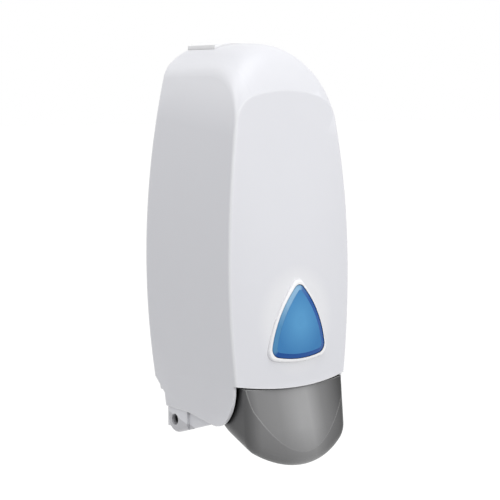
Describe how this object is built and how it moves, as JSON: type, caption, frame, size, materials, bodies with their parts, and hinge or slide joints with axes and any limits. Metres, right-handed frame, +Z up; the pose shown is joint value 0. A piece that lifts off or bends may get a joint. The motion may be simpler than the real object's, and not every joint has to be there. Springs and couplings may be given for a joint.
{
  "type": "wall mounted soap dispenser",
  "caption": "Wall-mounted push-lever soap dispenser with a tall rounded hinged cover, tinted window, grey push lever and a refill bottle with a lift pump.",
  "frame": {"origin": "centre of the four wall screw holes, on the wall plane", "axes": "+Y into the wall, +Z up, +X to the right as seen from the front"},
  "size_m": [0.112, 0.1123, 0.2888],
  "materials": {
    "white_abs": "satin moulded",
    "blue_lens": "polished tinted",
    "grey_plastic": "satin metallic grey",
    "steel": "drawn",
    "spring_steel": "drawn wire",
    "dark_plastic": "matt",
    "acetal": "matt",
    "natural_plastic": "satin",
    "bottle_plastic": "translucent",
    "gasket_rubber": "matt",
    "mesh_plastic": "woven"
  },
  "bodies": {
    "back": {"back_plate": "white_abs", "hinge_pins": "dark_plastic", "latch_spring": "spring_steel", "bottle_cradle": "natural_plastic", "cradle_screws": "steel", "refill_bottle": "bottle_plastic", "pump_cap": "natural_plastic", "neck_gasket": "gasket_rubber", "pump_body": "natural_plastic", "inlet_ball": "steel", "pump_spring": "spring_steel"},
    "cover": {"cover": "white_abs", "window_lens": "blue_lens", "lever_pivot_rod": "steel"},
    "lever": {"push_lever": "grey_plastic"},
    "plunger": {"pump_stem": "natural_plastic", "piston": "acetal", "piston_seal": "gasket_rubber", "nozzle_collar": "natural_plastic", "foam_meshes": "mesh_plastic", "nozzle_tip": "natural_plastic"},
    "latch": {"latch_tongue": "acetal"}
  },
  "joints": [
    {"name": "cover_hinge", "type": "hinge", "parent": "back", "child": "cover", "pos_m": [0, -0.019, -0.119], "axis": [1, 0, 0], "range_deg": [0, 80]},
    {"name": "lever_push", "type": "hinge", "parent": "cover", "child": "lever", "pos_m": [0, -0.08, -0.08], "axis": [1, 0, 0], "range_deg": [0, 15]},
    {"name": "pump_stroke", "type": "slide", "parent": "back", "child": "plunger", "axis": [0, 0, 1], "range_m": [0, 0.0121], "stiffness_N_per_m": 200, "springref_m": -0.01, "deforming": ["pump_spring"]},
    {"name": "latch_release", "type": "slide", "parent": "back", "child": "latch", "axis": [0, 0, -1], "range_m": [0, 0.004], "stiffness_N_per_m": 150, "springref_m": -0.004, "deforming": ["latch_spring"]}
  ],
  "couplings": [
    {"joint": "pump_stroke", "follows": "lever_push", "m_per_rad": 0.046}
  ]
}
